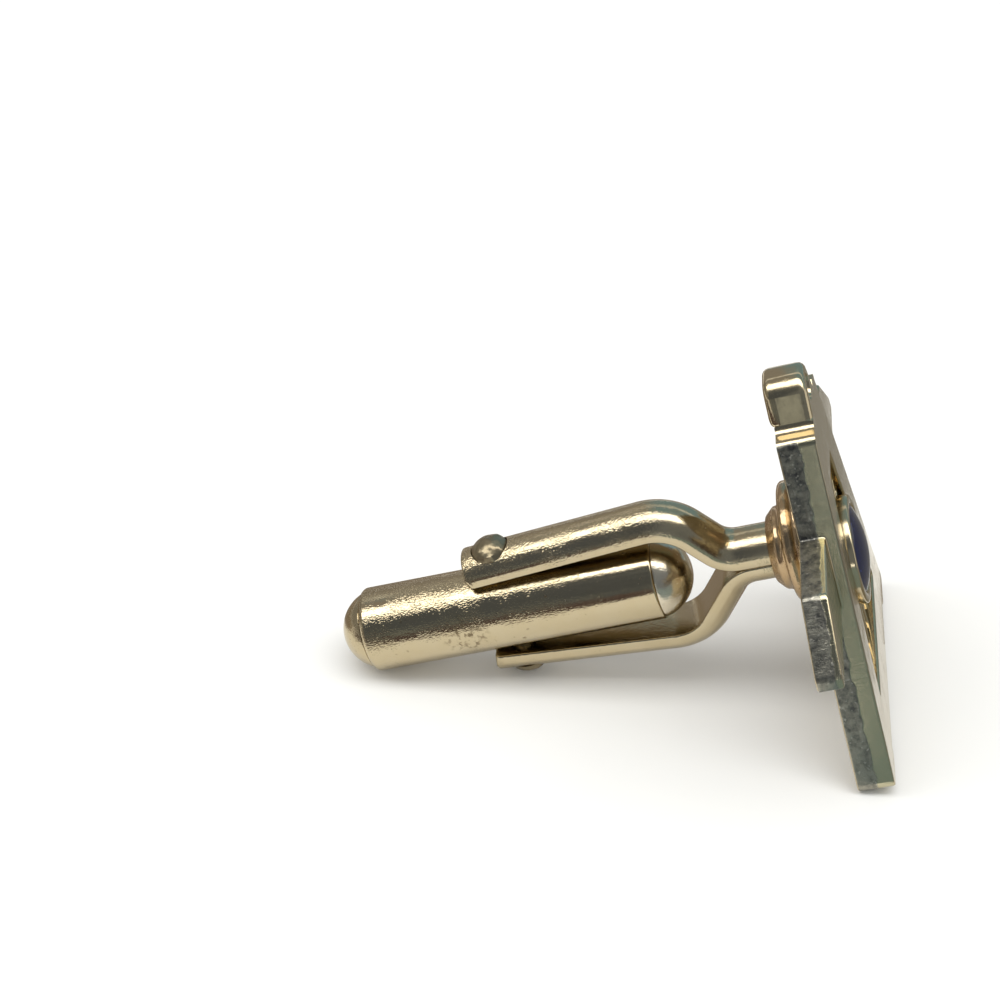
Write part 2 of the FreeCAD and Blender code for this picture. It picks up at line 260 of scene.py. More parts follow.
def relief(tree, height, depthMm, under=None, **settings):  # bump of a real depth, on top of another
    links = {"Strength": 1, "Distance": depthMm * mm, "Height": height}
    if under is not None:
        links["Normal"] = under
    return addNode(tree, "ShaderNodeBump", links, **settings).outputs[0]


def emptyMaterial(name):
    material = bpy.data.materials.new(name)
    material.use_nodes = True
    material.node_tree.nodes.clear()
    return material, material.node_tree


def startFinish(name):  # an empty material, with the link's own axes in millimetres
    finish, tree = emptyMaterial(name)
    place = addNode(tree, "ShaderNodeTexCoord")
    own = addNode(tree, "ShaderNodeMapping", {
        "Vector": place.outputs["Object"], "Location": pinMiddle, "Rotation": (0, -lieTilt, 0),
        "Scale": (mm, mm, mm)}, vector_type="TEXTURE")
    return finish, tree, own.outputs["Vector"]


def endFinish(tree, sockets, kind="ShaderNodeBsdfPrincipled"):
    shader = addNode(tree, kind, sockets)
    addNode(tree, "ShaderNodeOutputMaterial", {"Surface": shader.outputs[0]})


# Spans are given as from, to and, where it isn't 0 to 1, the low and high result.
plateLook = {"tone": "#C5B89B", "toneWarm": "#BFAE8A", "tarnish": "#6A5A42", "smudgeMm": 1.6,
             "smudgeSpan": (0.3, 0.7), "patchMm": 3.0, "patchSpan": (0.42, 0.62), "denseMm": 1.875,
             "denseSpan": (0.35, 0.6, 0.25, 1), "speckSoft": 0.09, "dulling": 0.3}


def goldPlate(name, ownLook):
    # Gold-plated brass, worn: a pale yellow metal whose reflections are broken by fine working marks,
    # with brown tarnish in specks where the plate is thin.
    look = plateLook | ownLook
    finish, tree, own = startFinish(name)
    marks = stretchedNoise(tree, own, look["marksMm"], 1, normalize=False)
    # The marks lie in patches, and go up and down about zero, so that the patches leave no step.
    dense = noise(tree, own, look["denseMm"], 3)
    marks = reckon(tree, "MULTIPLY", marks, ramp(tree, dense, *look["denseSpan"]))
    if "calmSpan" in look:  # the marks fade away towards one end
        axes = addNode(tree, "ShaderNodeSeparateXYZ", {"Vector": own})
        marks = reckon(tree, "MULTIPLY", marks, ramp(tree, axes.outputs[0], *look["calmSpan"]))
    waves = noise(tree, own, look["waveMm"], 2)
    smudge = noise(tree, own, look["smudgeMm"], 5, rough=0.6)
    specks = noise(tree, own, look["speckMm"], 3)
    specks = ramp(tree, specks, look["speckFrom"], look["speckFrom"] + look["speckSoft"])
    patches = ramp(tree, noise(tree, own, look["patchMm"], 2), *look["patchSpan"])
    tarnish = reckon(tree, "MULTIPLY", specks, patches)
    if "stain" in look:  # one cluster of darker blots where the plate has gone
        near = ramp(tree, distance(tree, own, look["stain"]), *look["stainSpan"])
        blots = ramp(tree, noise(tree, own, look["blotMm"], 3), *look["blotSpan"])
        tarnish = reckon(tree, "MAXIMUM", tarnish, reckon(tree, "MULTIPLY", near, blots))
    tone = blend(tree, smudge, look["tone"], look["toneWarm"])
    gloss = ramp(tree, smudge, *look["smudgeSpan"], *look["roughness"])
    normal = relief(tree, waves, look["waveHeight"])
    normal = relief(tree, marks, look["marksHeight"], normal)
    normal = relief(tree, tarnish, look["pitDepth"], normal, invert=True)
    endFinish(tree, {"Base Color": blend(tree, tarnish, tone, look["tarnish"]), "Metallic": 1,
                     "Roughness": reckon(tree, "MULTIPLY_ADD", tarnish, look["dulling"], gloss),
                     "Normal": normal})
    return finish


drawnTube = goldPlate("drawnGoldPlatedTube", {  # drawn along its length, pitted at its outer half
    "marksMm": (0.13, 0.07, 0.07), "marksHeight": 0.009, "calmSpan": (-1, 4.5, 1, 0.2),
    "waveMm": 0.8, "waveHeight": 0.008, "speckMm": 0.3, "speckFrom": 0.66, "roughness": (0.08, 0.15),
    "pitDepth": 0.005, "stain": (-2.1, -2.13, 0.05), "stainSpan": (1.3, 0.65), "blotMm": 0.26,
    "blotSpan": (0.5, 0.64, 0, 0.8)})
pressedDome = goldPlate("pressedGoldPlatedDome", {  # pressed and tumbled, no direction
    "marksMm": (0.14, 0.14, 0.14), "marksHeight": 0.004, "waveMm": 0.5, "waveHeight": 0.012,
    "speckMm": 0.3, "speckFrom": 0.66, "roughness": (0.16, 0.28), "pitDepth": 0.004})
paintedPaleDome = goldPlate("goldPlatedDomePaintedPaler", {  # the inner dome, a paler copy of the plate: painted light, standing in for the brighter reflections on it
    "tone": "#DCD2BE", "toneWarm": "#D2C5AA", "marksMm": (0.14, 0.14, 0.14), "marksHeight": 0.004,
    "waveMm": 0.5, "waveHeight": 0.016, "speckMm": 0.3, "speckFrom": 0.66, "roughness": (0.16, 0.28),
    "pitDepth": 0.004})
formedStrap = goldPlate("formedGoldPlatedStrap", {  # chatter on the strap from its forming
    "marksMm": (0.09, 0.10, 0.10), "marksHeight": 0.011, "calmSpan": (6.5, 9.5, 1, 0.3),
    "waveMm": 0.6, "waveHeight": 0.012, "speckMm": 0.28, "speckFrom": 0.68, "roughness": (0.12, 0.22),
    "pitDepth": 0.006})
peenedRivet = goldPlate("peenedGoldPlatedRivet", {  # hammered over, dull and dark in its dents
    "tone": "#A2977D", "toneWarm": "#8C7E62", "marksMm": (0.22, 0.22, 0.22), "marksHeight": 0.006,
    "waveMm": 0.5, "waveHeight": 0.02, "speckMm": 0.2, "speckFrom": 0.60, "roughness": (0.24, 0.38),
    "pitDepth": 0.006})
turnedDisc = goldPlate("turnedGoldPlatedDisc", {  # turned rings and solder flush, a little warmer
    "tone": "#C2AB8B", "toneWarm": "#B5976F", "marksMm": (0.09, 1.2, 1.2), "marksHeight": 0.003,
    "waveMm": 0.5, "waveHeight": 0.03, "speckMm": 0.3, "speckFrom": 0.60, "roughness": (0.14, 0.28),
    "pitDepth": 0.006})
struckHead = goldPlate("struckGoldPlatedHead", {  # die-struck face, bright with fine handling marks
    "marksMm": (0.3, 0.12, 1.4), "marksHeight": 0.0012, "waveMm": 0.9, "waveHeight": 0.012,
    "speckMm": 0.5, "speckFrom": 0.66, "speckSoft": 0.16, "roughness": (0.10, 0.20), "pitDepth": 0.003})
print("gold finishes made")


def shearedEdgeFinish(look):
    # Blanked edge of the head under the plate: a smooth burnished zone at the front, where the punch went
    # in, and a rough torn zone at the back, with drag lines through the thickness and a wavy border between.
    finish, tree, own = startFinish("blankedGoldPlatedEdge")
    axes = addNode(tree, "ShaderNodeSeparateXYZ", {"Vector": own})
    ripple = noise(tree, own, look["borderMm"], 4)
    shift = reckon(tree, "MULTIPLY_ADD", ripple, look["borderWave"], axes.outputs[0])
    border = look["border"] + look["borderWave"] / 2
    torn = ramp(tree, shift, *[border + soft for soft in look["borderSoft"]])
    drag = stretchedNoise(tree, own, look["dragMm"], 5, rough=0.7)
    grit = noise(tree, own, look["gritMm"], 4, rough=0.7)
    # The torn zone turns paler with distance from the middle of the head, towards its far ends.
    paleFurtherOut = ramp(tree, distance(tree, own, look["middle"]), *look["paleFurtherOutSpan"])  # paler at the far ends
    mottle = reckon(tree, "ADD", ramp(tree, grit, *look["gritSpan"]), paleFurtherOut, use_clamp=True)
    # Painted glints: sparse pale flecks in the torn zone's colour stand in for sparkles of light off the
    # rough metal.
    paintedGlints = ramp(tree, noise(tree, own, look["glintMm"], 2), *look["glintSpan"])
    tornTone = blend(tree, mottle, look["tornDark"], look["tornPale"])
    tornTone = blend(tree, paintedGlints, tornTone, look["paintedGlint"])
    smoothTone = blend(tree, drag, look["smooth"], look["smoothWarm"])
    normal = relief(tree, noise(tree, own, look["waveMm"], 2), look["waveHeight"])
    normal = relief(tree, drag, look["dragHeight"], normal)
    normal = relief(tree, reckon(tree, "MULTIPLY", grit, torn), look["gritHeight"], normal)
    endFinish(tree, {"Base Color": blend(tree, torn, smoothTone, tornTone), "Metallic": 1, "Normal": normal,
                     "Roughness": ramp(tree, torn, 0, 1, *look["roughness"])})
    return finish


def enamelFinish(look):
    # Fired vitreous enamel: deep blue glass with cloudy depth, tiny bubbles and a wet, even gloss.
    finish, tree, own = startFinish("firedBlueEnamel")
    cloud = noise(tree, own, look["cloudMm"], 4)
    cells = addNode(tree, "ShaderNodeTexVoronoi", {"Vector": own, "Scale": 1 / look["bubbleMm"]})
    bubbles = ramp(tree, cells.outputs["Distance"], *look["bubbleSpan"])
    depth = blend(tree, cloud, look["deep"], look["pale"])
    endFinish(tree, {"Base Color": blend(tree, bubbles, depth, look["bubble"]), "IOR": 1.5,
                     "Specular IOR Level": 0.4, "Roughness": ramp(tree, cloud, 0, 1, *look["roughness"]),
                     "Normal": relief(tree, noise(tree, own, look["rippleMm"], 2), look["rippleHeight"])})
    return finish


def springSteelFinish(look):
    # Tempered spring strip: grey steel rolled along its length, with a faint straw tint from the heat.
    finish, tree, own = startFinish("temperedSpringSteel")
    roll = stretchedNoise(tree, own, look["rollMm"], 4)
    endFinish(tree, {"Base Color": blend(tree, roll, look["steel"], look["straw"]), "Metallic": 1,
                     "Roughness": ramp(tree, roll, 0, 1, *look["roughness"]),
                     "Normal": relief(tree, roll, look["rollHeight"])})
    return finish


# Toggle tube, with rolled ends and holes for the pin
tubeBox = ownBox("toggle_tube")
tubeShape = {"outerEnd": tubeBox[0].x, "innerEnd": tubeBox[1].x, "radius": tubeBox[1].y, "wall": 0.35,
             "outerRoll": 0.3, "innerRoll": 0.1, "rollSteps": 6, "steps": 128,
             "pinHole": 0.65, "holeReach": 3, "holeSteps": 40}


def makeTube(s):
    bore = s["radius"] - s["wall"]
    tube = drawLine("toggleTube", [
        (s["outerEnd"], 0, bore), (s["outerEnd"], 0, s["radius"]), (s["innerEnd"], 0, s["radius"]),
        (s["innerEnd"], 0, bore)], closed=True)
    for end in ("outer", "inner"):
        pick(tube, "VERT", lambda v: v.co.z > bore + touch and abs(v.co.x - s[end + "End"]) < touch)
        bevelPicked("VERTICES", s[end + "Roll"], s["rollSteps"])
    turn((0, 0, 0), (1, 0, 0), s["steps"])
    hole = drawLine("pinHole", [(0, 0, -s["holeReach"]), (s["pinHole"], 0, -s["holeReach"]),
                                (s["pinHole"], 0, s["holeReach"]), (0, 0, s["holeReach"])])
    turn((0, 0, 0), (0, 0, 1), s["holeSteps"])
    combine(tube, hole, "DIFFERENCE")
    return tube


tube = makeTube(tubeShape)
tube.data.materials.append(drawnTube)
layOnBody(tube, "toggle_tube", "toggle")


# Domed caps in both ends of the tube
capShape = {"plug": 1.76, "rimInset": {"outer_cap": 0.22, "inner_cap": 0.08}, "domeSteps": 18,
            "rimRound": 0.06, "sharpDeg": 40, "steps": 112}


def makeCap(name, node, tubeEnd, way, finish):
    s = capShape
    low, high = ownBox(node)
    apex, start = (low.x, high.x) if way < 0 else (high.x, low.x)
    cap = drawLine(name, [(start, 0, 0), (start, 0, s["plug"]), (tubeEnd, 0, s["plug"])] + [
        (apex + way * height, 0, radius) for height, radius in dome(
            tubeShape["radius"] - s["rimInset"][node], abs(apex - tubeEnd), s["domeSteps"])])
    turn((0, 0, 0), (1, 0, 0), s["steps"])
    softenEdges(cap, s["rimRound"], s["sharpDeg"])
    cap.data.materials.append(finish)
    layOnBody(cap, node, "toggle")


makeCap("outerCap", "outer_cap", tubeShape["outerEnd"], -1, pressedDome)
makeCap("innerCap", "inner_cap", tubeShape["innerEnd"], 1, paintedPaleDome)


# Arms: half-round straps bent together behind the toggle
armShape = {"width": 2.6, "edge": 0.45, "crown": 1.4, "crownSteps": 22, "flatAtPin": 2.3, "tipReach": 1.4,
            "spreadDeg": 4.6, "dropDeg": 52, "bendX": 7.7, "outerBend": 2.0, "innerBend": 2.1,
            "bendSteps": 18, "neckRise": 0.3, "end": ownBox("upper_arm")[1].x, "tipRound": 0.35,
            "tipSteps": 8, "tipZone": 0.2, "edgeRound": 0.1, "sharpDeg": 35, "seat": 0.3, "spot": 0.97,
            "spotDepth": 2, "spotSteps": 48}


def makeArm(name, node, neckZ, way):
    s = armShape
    spread, drop = math.radians(s["spreadDeg"]), math.radians(s["dropDeg"])
    along = Vector((math.cos(spread), 0, math.sin(spread)))
    out = Vector((-math.sin(spread), 0, math.cos(spread)))
    foot = Vector((0, 0, s["flatAtPin"])) - along * s["tipReach"]
    half, lift = s["width"] / 2, s["crown"] - s["edge"]
    ball = (half ** 2 + lift ** 2) / (2 * lift)
    sweep = math.asin(half / ball)
    section = [foot + Vector((0, -half, 0)), foot + Vector((0, half, 0))]
    for i in range(s["crownSteps"] + 1):
        a = sweep - 2 * sweep * i / s["crownSteps"]
        height = s["crown"] - ball + ball * math.cos(a)
        section.append(foot + Vector((0, ball * math.sin(a), 0)) + out * height)
    arm = drawLine(name, section, closed=True)
    bpy.ops.mesh.select_all(action="SELECT")
    bpy.ops.mesh.edge_face_add()  # the strap's end face, carried on along the arm
    bpy.ops.mesh.select_mode(type="FACE")
    bend = Vector((s["bendX"], 0, s["flatAtPin"] + s["bendX"] * math.tan(spread)))
    carryOn(bend - foot)
    bpy.ops.mesh.spin(steps=s["bendSteps"], angle=spread + drop, center=bend - out * s["outerBend"],
                      axis=(0, -1, 0))
    arcX = bend.x + s["outerBend"] * (math.sin(spread) + math.sin(drop))
    arcZ = bend.z - s["outerBend"] * (math.cos(spread) - math.cos(drop))
    slopeZ = neckZ + s["innerBend"] * (1 - math.cos(drop))
    slopeX = arcX + (arcZ - slopeZ) / math.tan(drop)
    carryOn((slopeX - arcX, 0, slopeZ - arcZ))
    neckX = slopeX + s["innerBend"] * math.sin(drop)
    bpy.ops.mesh.spin(steps=s["bendSteps"], angle=drop, center=(neckX, 0, neckZ + s["innerBend"]),
                      axis=(0, 1, 0))
    carryOn((s["end"] - neckX, 0, 0))
    bpy.ops.mesh.select_all(action="SELECT")
    bpy.ops.mesh.normals_make_consistent(inside=False)
    pick(arm, "EDGE", lambda e: abs(reach(e).y) < touch and reach(e).length < s["crown"] / 2
         and middle(e).x < foot.x + s["tipZone"] and abs(abs(middle(e).y) - half) < touch)
    bevelPicked("EDGES", s["tipRound"], s["tipSteps"])  # the two corners of the tip
    leaveEdit()
    softenEdges(arm, s["edgeRound"], s["sharpDeg"], clamp=False)
    seatZ = s["flatAtPin"] + s["crown"] / math.cos(spread) - s["seat"]
    spotTop = seatZ + s["spotDepth"]
    spot = drawLine("spotFace", [(0, 0, seatZ), (s["spot"], 0, seatZ), (s["spot"], 0, spotTop),
                                 (0, 0, spotTop)])
    turn((0, 0, 0), (0, 0, 1), s["spotSteps"])
    combine(arm, spot, "DIFFERENCE")
    if way < 0:
        mirror(arm, (1, 1, -1))
    arm.data.materials.append(formedStrap)
    layOnBody(arm, node, "head", smoothDeg=45)


makeArm("upperArm", "upper_arm", armShape["neckRise"], 1)
makeArm("lowerArm", "lower_arm", -armShape["neckRise"], -1)


# Pivot pin with its two hammered heads
pinTop = ownBox("pivot_pin")[1].z
pinShape = {"top": pinTop, "seat": pinTop - 0.74, "shank": 0.6, "head": 0.95, "headRise": 0.44,
            "domeSteps": 14, "steps": 64, "dent": 0.16, "dentMm": 0.65, "dentLevel": 0.85, "dentFrom": 0.15}


def makePin(s):
    upper = [(s["shank"], 0, s["seat"]), (s["head"], 0, s["seat"])] + [
        (radius, 0, s["top"] + height) for height, radius in dome(s["head"], s["headRise"], s["domeSteps"])]
    pin = drawLine("pivotPin", [(x, y, -z) for x, y, z in reversed(upper)] + upper)
    turn((0, 0, 0), (0, 0, 1), s["steps"])
    heads = pin.vertex_groups.new(name="heads")
    heads.add([v.index for v in pin.data.vertices if abs(v.co.z) > s["seat"] + s["dentFrom"]], 1, "REPLACE")
    dents = bpy.data.textures.new("hammerDents", "CLOUDS")
    dents.noise_scale = s["dentMm"]
    dents.noise_depth = 1
    change = pin.modifiers.new("hammered", "DISPLACE")
    change.texture = dents
    change.texture_coords = "LOCAL"
    change.strength = s["dent"]
    change.mid_level = s["dentLevel"]
    change.vertex_group = "heads"
    applyChange(pin, change)
    return pin


pin = makePin(pinShape)
pin.data.materials.append(peenedRivet)
layOnBody(pin, "pivot_pin", "head")


# Ferrule and base disc: the disc is turned about a line of its own, not the ferrule's
postLine = armShape["neckRise"]
ferruleBox, discBox = ownBox("ferrule"), ownBox("base_disc")
discLine = (discBox[0].z + discBox[1].z) / 2
ferruleShape = {"back": ferruleBox[0].x, "front": ferruleBox[1].x, "radius": ferruleBox[1].y, "bevel": 0.45,
                "edge": 0.12, "edgeSteps": 5, "solder": 0.4, "solderSteps": 8, "steps": 96}
discShape = {"back": discBox[0].x, "front": discBox[1].x, "radius": discBox[1].y, "round": 0.25,
             "roundSteps": 6, "groove": 0.62, "grooveWidth": 0.1, "grooveDepth": 0.07, "steps": 128}


def makeFerrule(s):
    outer, cone, run = postLine + s["radius"], s["back"] + s["bevel"], s["solder"]
    solder = arc((s["front"] - run, outer + run), run, -90, 0, s["solderSteps"])  # solder run round its foot
    ferrule = drawLine("postFerrule", [
        (s["back"], 0, postLine), (s["back"], 0, outer - s["bevel"]), (cone, 0, outer)] + solder
        + [(s["front"], 0, postLine)])
    for x in (s["back"], cone):
        pick(ferrule, "VERT", lambda v: v.co.z > postLine + touch and abs(v.co.x - x) < touch)
        bevelPicked("VERTICES", s["edge"], s["edgeSteps"])
    turn((0, 0, postLine), (1, 0, 0), s["steps"])
    return ferrule


def makeDisc(s):
    outer, groove = discLine + s["radius"], s["back"] + s["groove"]
    disc = drawLine("baseDisc", [
        (s["back"], 0, discLine), (s["back"], 0, outer), (groove - s["grooveWidth"], 0, outer),
        (groove, 0, outer - s["grooveDepth"]), (groove + s["grooveWidth"], 0, outer), (s["front"], 0, outer),
        (s["front"], 0, discLine)])
    pick(disc, "VERT", lambda v: v.co.z > outer - touch and v.co.x < s["back"] + touch)
    bevelPicked("VERTICES", s["round"], s["roundSteps"])
    turn((0, 0, discLine), (1, 0, 0), s["steps"])
    return disc


ferrule = makeFerrule(ferruleShape)
ferrule.data.materials.append(turnedDisc)
layOnBody(ferrule, "ferrule", "head")
disc = makeDisc(discShape)
disc.data.materials.append(turnedDisc)
layOnBody(disc, "base_disc", "head")


# Head: a tapered tablet with splayed bars, a recessed field of sunrays, a cross-bar and a finial
headBox = ownBox("face_plate")
headShape = {"back": headBox[0].x + 0.2, "front": headBox[1].x, "low": 1.25, "halfWidth": 5.4,
             "splayDeg": 18, "barWidth": 2.65, "top": 8.15, "topRound": 0.5, "foot": -9.0,
             "footRound": 0.45, "lintel": 4.4, "sill": -6.0, "sillRecess": 0.35, "sillRound": 0.315,
             "finialHalf": 1.8019, "finialTop": headBox[1].z, "finialLeanDeg": 22, "finialCorner": 0.991,
             "finialSteps": 10, "finialRoot": 1, "finialBack": 0.2, "finialEdge": 0.34, "finialEdgeSteps": 4,
             "padInset": 0.004, "padFoot": 0.1, "padDepth": 0.7, "padSharpDeg": 40, "waist": 0.5,
             "waistSteps": 8, "waistClear": 0.05, "dimple": 0.65, "dimpleDepth": 0.4, "dimpleRings": 10,
             "dimpleSteps": 48, "crossReach": 11.2, "crossRoot": 3.2, "crossTop": 3.6, "crossBottom": 0.2,
             "crossEnd": 0.7, "crossRound": 0.21, "crossSteps": 5, "edge": 0.12, "edgeSteps": 3,
             "edgeDeg": 35, "edgeBelow": 0.7, "rays": 24, "rayWidth": 0.45, "rayHeight": 0.25,
             "rayRound": 0.18, "raySteps": 3, "rayStart": 2.2, "rayEnd": 14, "raySunk": 0.3,
             "rayMargin": 0.15, "cupDrop": 0.6, "discSeat": 0.15, "discPlay": 0.02, "sideNormal": 0.45,
             "windowMargin": 0.2, "shearBelow": 0.1, "throughLeast": 0.1, "cornerNear": 0.02}
edgeFinish = shearedEdgeFinish({
    "middle": (headShape["back"] + 0.9, 0, 1), "border": headShape["back"] + 1.0, "borderWave": 0.5,
    "borderMm": 0.9, "borderSoft": (0.03, -0.05), "dragMm": (1.3, 0.11, 0.11), "dragHeight": 0.010,
    "gritMm": 0.5, "gritSpan": (0.34, 0.66), "gritHeight": 0.035, "paleFurtherOutSpan": (8, 11.5, 0, 0.45),
    "waveMm": 0.9, "waveHeight": 0.014, "tornDark": "#50504E", "tornPale": "#9E9A8B", "glintMm": 0.2,
    "glintSpan": (0.62, 0.74), "paintedGlint": "#C2BDAE", "smooth": "#C0BA9E", "smoothWarm": "#B8AE8C",
    "roughness": (0.16, 0.32)})


def barEdge(z, inset=0.0):
    return headShape["halfWidth"] - z * math.tan(math.radians(headShape["splayDeg"])) - inset


def finialEdge(z):
    lean = math.tan(math.radians(headShape["finialLeanDeg"]))
    return headShape["finialHalf"] - (z - headShape["top"]) * lean


def cornerLength(radius, leanDeg):  # what a rounding takes off each side of a corner that leans
    return radius / math.tan(math.radians(45 + leanDeg / 2))


def bothSides(y, z):
    return [(side * y, z) for side in (1, -1)]


def taper(piece, top, bottom, topHalf, bottomHalf):  # give the ends of a block of half width 1 their own
    edit(piece)
    for z, half in ((top, topHalf), (bottom, bottomHalf)):
        pick(piece, "VERT", lambda v: abs(v.co.z - z) < touch)
        bpy.ops.transform.resize(value=(1, half, 1), center_override=(0, 0, 0))
    leaveEdit()


def runsThrough(edge):  # from the back to the front
    return abs(reach(edge).x) > headShape["throughLeast"]


def roundAlongX(piece, corners, width, steps=6):  # round the edges that run through the thickness
    edit(piece)
    pick(piece, "EDGE", lambda e: runsThrough(e) and min(
        math.hypot(middle(e).y - y, middle(e).z - z) for y, z in corners) < headShape["cornerNear"])
    bevelPicked("EDGES", width, steps)
    leaveEdit()


def makeFinialBlock(name, bottom, back, front, inset=0.0):
    s = headShape
    top = s["finialTop"] - inset
    topHalf, bottomHalf = finialEdge(top) - inset, finialEdge(bottom) - inset
    part = block(name, (back, -1, bottom), (front, 1, top))
    taper(part, top, bottom, topHalf, bottomHalf)
    width = cornerLength(s["finialCorner"], s["finialLeanDeg"])
    roundAlongX(part, bothSides(topHalf, top), width, s["finialSteps"])
    return part


def addFinial(head, s):
    stem = makeFinialBlock("finialStem", s["lintel"] + s["finialRoot"], s["back"], s["front"])
    combine(head, stem, "UNION")
    waistWidth = cornerLength(s["waist"], s["finialLeanDeg"])
    roundAlongX(head, bothSides(s["finialHalf"], s["top"]), waistWidth, s["waistSteps"])
    faces = (s["front"], s["back"])
    edit(head)
    pick(head, "EDGE", lambda e: middle(e).z > s["top"] + s["waist"] + s["waistClear"]
         and min(abs(v.co.x - x) for v in e.verts for x in faces) < touch and abs(reach(e).x) < touch)
    bevelPicked("EDGES", s["finialEdge"], s["finialEdgeSteps"])
    leaveEdit()
    pad = makeFinialBlock("finialPad", s["top"] + s["padFoot"], s["back"] - s["finialBack"],
                          s["back"] + s["padDepth"], s["padInset"])
    softenEdges(pad, s["finialEdge"], s["padSharpDeg"], s["finialEdgeSteps"])
    combine(head, pad, "UNION")
    dimpleZ = (s["top"] + s["finialTop"]) / 2
    shares = [i / s["dimpleRings"] for i in range(s["dimpleRings"] + 1)]
    bowl = [(s["front"] - s["dimpleDepth"] * (1 - share) ** 0.5, 0, dimpleZ + s["dimple"] * share ** 0.5)
            for share in shares]
    dimple = drawLine("dimple", bowl + [(s["front"] + past, 0, dimpleZ + s["dimple"]),
                                        (s["front"] + past, 0, dimpleZ)])
    turn((0, 0, dimpleZ), (1, 0, 0), s["dimpleSteps"])
    combine(head, dimple, "DIFFERENCE")


def addCrossBar(head, s, low):  # two wings, rooted inside the tablet's bars
    end = s["crossReach"]
    slopeStart = s["crossBottom"] + s["crossEnd"]
    slopeRun = s["crossTop"] - slopeStart
    for side in (1, -1):
        wing = block("crossWing", (s["back"], s["crossRoot"], s["crossBottom"]), (low, end, s["crossTop"]))
        edit(wing)
        pick(wing, "EDGE", lambda e: runsThrough(e) and middle(e).z > slopeStart
             and middle(e).y > end - touch)
        bpy.ops.mesh.bevel(affect="EDGES", offset=slopeRun, segments=1)
        leaveEdit()
        corners = [(end, s["crossBottom"]), (end, slopeStart), (end - slopeRun, s["crossTop"])]
        roundAlongX(wing, corners, s["crossRound"], s["crossSteps"])
        if side < 0:
            mirror(wing, (1, -1, 1))
        combine(head, wing, "UNION")


def makeSunrays(s, low):  # one ray, copied round the cup and clipped to the window
    half = s["rayWidth"] / 2
    ray = block("sunray", (low - s["raySunk"], s["rayStart"], -half),
                (low + s["rayHeight"], s["rayEnd"], half))
    edit(ray)
    pick(ray, "EDGE", lambda e: middle(e).x > low and abs(reach(e).y) > s["rayWidth"])
    bevelPicked("EDGES", s["rayRound"], s["raySteps"])
    leaveEdit()
    rays = [ray]
    for i in range(1, s["rays"]):
        rays.append(ray.copy())
        rays[i].data = ray.data.copy()
        bpy.context.collection.objects.link(rays[i])
    bpy.ops.object.select_all(action="DESELECT")
    for i, one in enumerate(rays):
        one.rotation_euler = (2 * math.pi * (i + 0.5) / s["rays"], 0, 0)
        one.location = (0, 0, -s["cupDrop"])
        one.select_set(True)
    bpy.context.view_layer.objects.active = ray
    bpy.ops.object.transform_apply(location=True, rotation=True, scale=True)
    bpy.ops.object.join()
    top, bottom = s["lintel"] + s["rayMargin"], s["sill"] - s["rayMargin"]
    clip = block("rayClip", (low - past, -1, bottom), (s["front"], 1, top))
    taper(clip, top, bottom, *[barEdge(z, s["barWidth"]) + s["rayMargin"] for z in (s["lintel"], s["sill"])])
    combine(ray, clip, "INTERSECT")
    return ray


def makeHead(s):
    low = s["back"] + s["low"]
    head = block("facePlate", (s["back"], -1, s["foot"]), (s["front"], 1, s["top"]))
    taper(head, s["top"], s["foot"], barEdge(s["top"]), barEdge(s["foot"]))
    roundAlongX(head, bothSides(barEdge(s["top"]), s["top"]), cornerLength(s["topRound"], s["splayDeg"]))
    roundAlongX(head, bothSides(barEdge(s["foot"]), s["foot"]), cornerLength(s["footRound"], -s["splayDeg"]))
    window = block("window", (low, -1, s["sill"]), (s["front"] + past, 1, s["lintel"]))
    taper(window, s["lintel"], s["sill"], *[barEdge(z, s["barWidth"]) for z in (s["lintel"], s["sill"])])
    combine(head, window, "DIFFERENCE")
    insideFoot = barEdge(s["foot"], s["barWidth"])
    notch = block("sillNotch", (s["back"] - past, -insideFoot, s["foot"] - past),
                  (s["front"] + past, insideFoot, s["foot"] + s["sillRecess"]))
    combine(head, notch, "DIFFERENCE")
    roundAlongX(head, bothSides(insideFoot, s["foot"]), s["sillRound"])
    addFinial(head, s)
    addCrossBar(head, s, low)
    edit(head)
    pick(head, "EDGE", lambda e: e.calc_face_angle(0) > math.radians(s["edgeDeg"])
         and middle(e).z < s["top"] - s["edgeBelow"])
    bevelPicked("EDGES", s["edge"], s["edgeSteps"], miter_outer="ARC")
    leaveEdit()
    cleanUp(head)
    combine(head, makeSunrays(s, low), "UNION")
    seatRim, seatFloor = discLine + discShape["radius"] + s["discPlay"], s["back"] + s["discSeat"]
    seat = drawLine("discSeat", [(s["back"] - past, 0, discLine), (s["back"] - past, 0, seatRim),
                                 (seatFloor, 0, seatRim), (seatFloor, 0, discLine)])
    turn((0, 0, discLine), (1, 0, 0), discShape["steps"])
    combine(head, seat, "DIFFERENCE")
    return head


def isSheared(face, s):  # on the outside of tablet and cross-bar, not on the finial or in the window
    y, z, margin = face.center.y, face.center.z, s["windowMargin"]
    inWindow = s["sill"] - margin < z < s["lintel"] + margin and abs(y) < barEdge(z, s["barWidth"]) + margin
    return abs(face.normal.x) < s["sideNormal"] and z < s["top"] - s["shearBelow"] and not inWindow


head = makeHead(headShape)
head.data.materials.append(struckHead)
head.data.materials.append(edgeFinish)
for face in head.data.polygons:
    face.material_index = int(isSheared(face, headShape))
layOnBody(head, "face_plate", "head", smoothDeg=30)


# Medallion cup and the enamel in it
cupBox, enamelBox = ownBox("medallion_cup"), ownBox("enamel_roundel")
medalLine = (cupBox[0].z + cupBox[1].z) / 2
cupShape = {"back": cupBox[0].x, "front": cupBox[1].x, "radius": cupBox[1].y, "wall": 0.5, "recess": 0.45,
            "rimRound": 0.12, "rimSteps": 5, "steps": 128}
enamelShape = {"back": enamelBox[0].x, "crown": enamelBox[1].x, "edge": cupBox[1].x - 0.08,
               "radius": enamelBox[1].y, "steps": 96, "domeSteps": 14}


